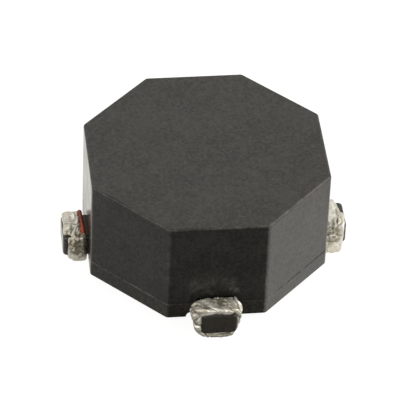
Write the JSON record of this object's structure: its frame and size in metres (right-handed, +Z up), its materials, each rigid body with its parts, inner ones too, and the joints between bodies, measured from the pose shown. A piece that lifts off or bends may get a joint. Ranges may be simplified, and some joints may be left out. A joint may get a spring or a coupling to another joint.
{
  "type": "shielded smd inductor",
  "caption": "Low octagonal surface-mount toroidal inductor: moulded cap and header, and wire-wrapped soldered posts on its sides.",
  "frame": {"origin": "centre of the seating plane, under the middle of the body, where the undersides of the soldered posts meet the board", "axes": "+Z up out of the board, +X towards one post and +Y towards the next one anticlockwise from above; -Y is the front post"},
  "size_m": [0.0138, 0.0138, 0.006],
  "materials": {
    "black_moulding": "matte moulded thermoset with a fine grain",
    "core_coating": "pressed iron powder with a thin epoxy coat",
    "enamelled_wire": "copper wire with red-brown enamel, glossy",
    "epoxy": "cured adhesive",
    "tinned_solder": "bright tin solder over wire, crinkled"
  },
  "bodies": {
    "root": {"header": "black_moulding", "cap": "black_moulding", "toroid_core": "core_coating", "winding_a": "enamelled_wire", "winding_b": "enamelled_wire", "core_adhesive": "epoxy", "cap_adhesive": "epoxy", "solder_wrap_right": "tinned_solder", "solder_wrap_rear": "tinned_solder", "solder_wrap_left": "tinned_solder", "solder_wrap_front": "tinned_solder"}
  },
  "joints": []
}
